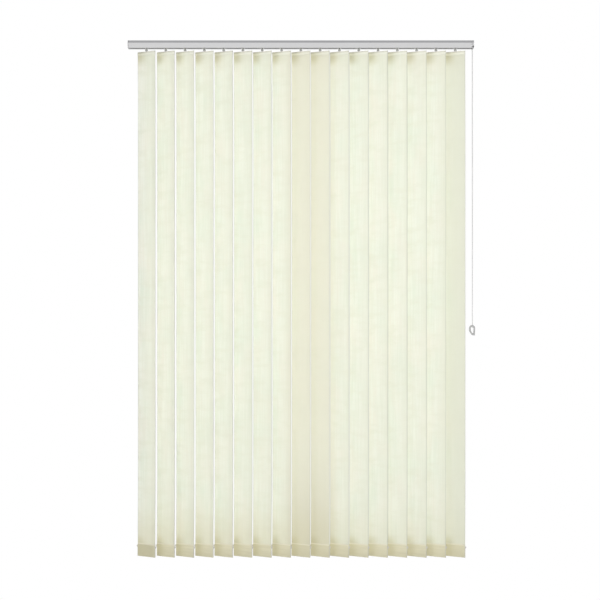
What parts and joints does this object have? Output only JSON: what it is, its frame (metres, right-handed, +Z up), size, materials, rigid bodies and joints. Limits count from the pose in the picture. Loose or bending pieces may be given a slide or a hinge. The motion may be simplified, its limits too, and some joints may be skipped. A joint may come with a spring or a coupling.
{
  "type": "vertical blind",
  "caption": "Vertical blind: upright fabric louvres hang from carriers in a slotted aluminium headrail, turned by a tilt rod and a bead chain with a pull ring.",
  "frame": {"origin": "centre of the headrail's flat top face", "axes": "+X along the headrail towards the control chain, +Y towards the window, +Z up"},
  "size_m": [1.4395, 0.051, 2.14],
  "materials": {
    "rail_aluminium": "satin anodised",
    "cap_plastic": "satin",
    "rod_aluminium": "mill",
    "wheel_plastic": "satin",
    "chain_plastic": "gloss",
    "ring_plastic": "satin",
    "carrier_plastic": "satin",
    "fitting_plastic": "satin",
    "louvre_fabric": "woven, semi-translucent"
  },
  "bodies": {
    "rail": {"headrail": "rail_aluminium", "end_cap": "cap_plastic", "control_housing": "cap_plastic", "control_chain": "chain_plastic", "chain_weight": "ring_plastic", "carrier_17": "carrier_plastic"},
    "tilt_rod": {"tilt_rod": "rod_aluminium", "chain_wheel": "wheel_plastic"},
    "carrier_01": {"carrier_01": "carrier_plastic"},
    "carrier_02": {"carrier_02": "carrier_plastic"},
    "carrier_03": {"carrier_03": "carrier_plastic"},
    "carrier_04": {"carrier_04": "carrier_plastic"},
    "carrier_05": {"carrier_05": "carrier_plastic"},
    "carrier_06": {"carrier_06": "carrier_plastic"},
    "carrier_07": {"carrier_07": "carrier_plastic"},
    "carrier_08": {"carrier_08": "carrier_plastic"},
    "carrier_09": {"carrier_09": "carrier_plastic"},
    "carrier_10": {"carrier_10": "carrier_plastic"},
    "carrier_11": {"carrier_11": "carrier_plastic"},
    "carrier_12": {"carrier_12": "carrier_plastic"},
    "carrier_13": {"carrier_13": "carrier_plastic"},
    "carrier_14": {"carrier_14": "carrier_plastic"},
    "carrier_15": {"carrier_15": "carrier_plastic"},
    "carrier_16": {"carrier_16": "carrier_plastic"},
    "louvre_01": {"louvre_01": "louvre_fabric", "hanger_set_01": "fitting_plastic"},
    "louvre_02": {"louvre_02": "louvre_fabric", "hanger_set_02": "fitting_plastic"},
    "louvre_03": {"louvre_03": "louvre_fabric", "hanger_set_03": "fitting_plastic"},
    "louvre_04": {"louvre_04": "louvre_fabric", "hanger_set_04": "fitting_plastic"},
    "louvre_05": {"louvre_05": "louvre_fabric", "hanger_set_05": "fitting_plastic"},
    "louvre_06": {"louvre_06": "louvre_fabric", "hanger_set_06": "fitting_plastic"},
    "louvre_07": {"louvre_07": "louvre_fabric", "hanger_set_07": "fitting_plastic"},
    "louvre_08": {"louvre_08": "louvre_fabric", "hanger_set_08": "fitting_plastic"},
    "louvre_09": {"louvre_09": "louvre_fabric", "hanger_set_09": "fitting_plastic"},
    "louvre_10": {"louvre_10": "louvre_fabric", "hanger_set_10": "fitting_plastic"},
    "louvre_11": {"louvre_11": "louvre_fabric", "hanger_set_11": "fitting_plastic"},
    "louvre_12": {"louvre_12": "louvre_fabric", "hanger_set_12": "fitting_plastic"},
    "louvre_13": {"louvre_13": "louvre_fabric", "hanger_set_13": "fitting_plastic"},
    "louvre_14": {"louvre_14": "louvre_fabric", "hanger_set_14": "fitting_plastic"},
    "louvre_15": {"louvre_15": "louvre_fabric", "hanger_set_15": "fitting_plastic"},
    "louvre_16": {"louvre_16": "louvre_fabric", "hanger_set_16": "fitting_plastic"},
    "louvre_17": {"louvre_17": "louvre_fabric", "hanger_set_17": "fitting_plastic"}
  },
  "joints": [
    {"name": "carrier_01_slide", "type": "slide", "parent": "rail", "child": "carrier_01", "axis": [1, 0, 0], "range_m": [0, 0.992]},
    {"name": "carrier_02_slide", "type": "slide", "parent": "rail", "child": "carrier_02", "axis": [1, 0, 0], "range_m": [0, 0.93]},
    {"name": "carrier_03_slide", "type": "slide", "parent": "rail", "child": "carrier_03", "axis": [1, 0, 0], "range_m": [0, 0.868]},
    {"name": "carrier_04_slide", "type": "slide", "parent": "rail", "child": "carrier_04", "axis": [1, 0, 0], "range_m": [0, 0.806]},
    {"name": "carrier_05_slide", "type": "slide", "parent": "rail", "child": "carrier_05", "axis": [1, 0, 0], "range_m": [0, 0.744]},
    {"name": "carrier_06_slide", "type": "slide", "parent": "rail", "child": "carrier_06", "axis": [1, 0, 0], "range_m": [0, 0.682]},
    {"name": "carrier_07_slide", "type": "slide", "parent": "rail", "child": "carrier_07", "axis": [1, 0, 0], "range_m": [0, 0.62]},
    {"name": "carrier_08_slide", "type": "slide", "parent": "rail", "child": "carrier_08", "axis": [1, 0, 0], "range_m": [0, 0.558]},
    {"name": "carrier_09_slide", "type": "slide", "parent": "rail", "child": "carrier_09", "axis": [1, 0, 0], "range_m": [0, 0.496]},
    {"name": "carrier_10_slide", "type": "slide", "parent": "rail", "child": "carrier_10", "axis": [1, 0, 0], "range_m": [0, 0.434]},
    {"name": "carrier_11_slide", "type": "slide", "parent": "rail", "child": "carrier_11", "axis": [1, 0, 0], "range_m": [0, 0.372]},
    {"name": "carrier_12_slide", "type": "slide", "parent": "rail", "child": "carrier_12", "axis": [1, 0, 0], "range_m": [0, 0.31]},
    {"name": "carrier_13_slide", "type": "slide", "parent": "rail", "child": "carrier_13", "axis": [1, 0, 0], "range_m": [0, 0.248]},
    {"name": "carrier_14_slide", "type": "slide", "parent": "rail", "child": "carrier_14", "axis": [1, 0, 0], "range_m": [0, 0.186]},
    {"name": "carrier_15_slide", "type": "slide", "parent": "rail", "child": "carrier_15", "axis": [1, 0, 0], "range_m": [0, 0.124]},
    {"name": "carrier_16_slide", "type": "slide", "parent": "rail", "child": "carrier_16", "axis": [1, 0, 0], "range_m": [0, 0.062]},
    {"name": "louvre_01_tilt", "type": "hinge", "parent": "carrier_01", "child": "louvre_01", "pos_m": [-0.64, 0, -0.016], "axis": [0, 0, 1], "range_deg": [-136, 16]},
    {"name": "louvre_02_tilt", "type": "hinge", "parent": "carrier_02", "child": "louvre_02", "pos_m": [-0.56, 0, -0.016], "axis": [0, 0, 1], "range_deg": [-136, 16]},
    {"name": "louvre_03_tilt", "type": "hinge", "parent": "carrier_03", "child": "louvre_03", "pos_m": [-0.48, 0, -0.016], "axis": [0, 0, 1], "range_deg": [-136, 16]},
    {"name": "louvre_04_tilt", "type": "hinge", "parent": "carrier_04", "child": "louvre_04", "pos_m": [-0.4, 0, -0.016], "axis": [0, 0, 1], "range_deg": [-136, 16]},
    {"name": "louvre_05_tilt", "type": "hinge", "parent": "carrier_05", "child": "louvre_05", "pos_m": [-0.32, 0, -0.016], "axis": [0, 0, 1], "range_deg": [-136, 16]},
    {"name": "louvre_06_tilt", "type": "hinge", "parent": "carrier_06", "child": "louvre_06", "pos_m": [-0.24, 0, -0.016], "axis": [0, 0, 1], "range_deg": [-136, 16]},
    {"name": "louvre_07_tilt", "type": "hinge", "parent": "carrier_07", "child": "louvre_07", "pos_m": [-0.16, 0, -0.016], "axis": [0, 0, 1], "range_deg": [-136, 16]},
    {"name": "louvre_08_tilt", "type": "hinge", "parent": "carrier_08", "child": "louvre_08", "pos_m": [-0.08, 0, -0.016], "axis": [0, 0, 1], "range_deg": [-136, 16]},
    {"name": "louvre_09_tilt", "type": "hinge", "parent": "carrier_09", "child": "louvre_09", "pos_m": [0, 0, -0.016], "axis": [0, 0, 1], "range_deg": [-136, 16]},
    {"name": "louvre_10_tilt", "type": "hinge", "parent": "carrier_10", "child": "louvre_10", "pos_m": [0.08, 0, -0.016], "axis": [0, 0, 1], "range_deg": [-136, 16]},
    {"name": "louvre_11_tilt", "type": "hinge", "parent": "carrier_11", "child": "louvre_11", "pos_m": [0.16, 0, -0.016], "axis": [0, 0, 1], "range_deg": [-136, 16]},
    {"name": "louvre_12_tilt", "type": "hinge", "parent": "carrier_12", "child": "louvre_12", "pos_m": [0.24, 0, -0.016], "axis": [0, 0, 1], "range_deg": [-136, 16]},
    {"name": "louvre_13_tilt", "type": "hinge", "parent": "carrier_13", "child": "louvre_13", "pos_m": [0.32, 0, -0.016], "axis": [0, 0, 1], "range_deg": [-136, 16]},
    {"name": "louvre_14_tilt", "type": "hinge", "parent": "carrier_14", "child": "louvre_14", "pos_m": [0.4, 0, -0.016], "axis": [0, 0, 1], "range_deg": [-136, 16]},
    {"name": "louvre_15_tilt", "type": "hinge", "parent": "carrier_15", "child": "louvre_15", "pos_m": [0.48, 0, -0.016], "axis": [0, 0, 1], "range_deg": [-136, 16]},
    {"name": "louvre_16_tilt", "type": "hinge", "parent": "carrier_16", "child": "louvre_16", "pos_m": [0.56, 0, -0.016], "axis": [0, 0, 1], "range_deg": [-136, 16]},
    {"name": "louvre_17_tilt", "type": "hinge", "parent": "rail", "child": "louvre_17", "pos_m": [0.64, 0, -0.016], "axis": [0, 0, 1], "range_deg": [-136, 16]},
    {"name": "rod_turn", "type": "hinge", "parent": "rail", "child": "tilt_rod", "pos_m": [0, 0.007, -0.016], "axis": [1, 0, 0], "range_deg": [-1360, 160]}
  ],
  "couplings": [
    {"joint": "carrier_02_slide", "follows": "carrier_01_slide", "ratio": 0.9375},
    {"joint": "carrier_03_slide", "follows": "carrier_01_slide", "ratio": 0.875},
    {"joint": "carrier_04_slide", "follows": "carrier_01_slide", "ratio": 0.8125},
    {"joint": "carrier_05_slide", "follows": "carrier_01_slide", "ratio": 0.75},
    {"joint": "carrier_06_slide", "follows": "carrier_01_slide", "ratio": 0.6875},
    {"joint": "carrier_07_slide", "follows": "carrier_01_slide", "ratio": 0.625},
    {"joint": "carrier_08_slide", "follows": "carrier_01_slide", "ratio": 0.5625},
    {"joint": "carrier_09_slide", "follows": "carrier_01_slide", "ratio": 0.5},
    {"joint": "carrier_10_slide", "follows": "carrier_01_slide", "ratio": 0.4375},
    {"joint": "carrier_11_slide", "follows": "carrier_01_slide", "ratio": 0.375},
    {"joint": "carrier_12_slide", "follows": "carrier_01_slide", "ratio": 0.3125},
    {"joint": "carrier_13_slide", "follows": "carrier_01_slide", "ratio": 0.25},
    {"joint": "carrier_14_slide", "follows": "carrier_01_slide", "ratio": 0.1875},
    {"joint": "carrier_15_slide", "follows": "carrier_01_slide", "ratio": 0.125},
    {"joint": "carrier_16_slide", "follows": "carrier_01_slide", "ratio": 0.0625},
    {"joint": "louvre_02_tilt", "follows": "louvre_01_tilt", "ratio": 1},
    {"joint": "louvre_03_tilt", "follows": "louvre_01_tilt", "ratio": 1},
    {"joint": "louvre_04_tilt", "follows": "louvre_01_tilt", "ratio": 1},
    {"joint": "louvre_05_tilt", "follows": "louvre_01_tilt", "ratio": 1},
    {"joint": "louvre_06_tilt", "follows": "louvre_01_tilt", "ratio": 1},
    {"joint": "louvre_07_tilt", "follows": "louvre_01_tilt", "ratio": 1},
    {"joint": "louvre_08_tilt", "follows": "louvre_01_tilt", "ratio": 1},
    {"joint": "louvre_09_tilt", "follows": "louvre_01_tilt", "ratio": 1},
    {"joint": "louvre_10_tilt", "follows": "louvre_01_tilt", "ratio": 1},
    {"joint": "louvre_11_tilt", "follows": "louvre_01_tilt", "ratio": 1},
    {"joint": "louvre_12_tilt", "follows": "louvre_01_tilt", "ratio": 1},
    {"joint": "louvre_13_tilt", "follows": "louvre_01_tilt", "ratio": 1},
    {"joint": "louvre_14_tilt", "follows": "louvre_01_tilt", "ratio": 1},
    {"joint": "louvre_15_tilt", "follows": "louvre_01_tilt", "ratio": 1},
    {"joint": "louvre_16_tilt", "follows": "louvre_01_tilt", "ratio": 1},
    {"joint": "louvre_17_tilt", "follows": "louvre_01_tilt", "ratio": 1},
    {"joint": "rod_turn", "follows": "louvre_01_tilt", "ratio": 10}
  ]
}
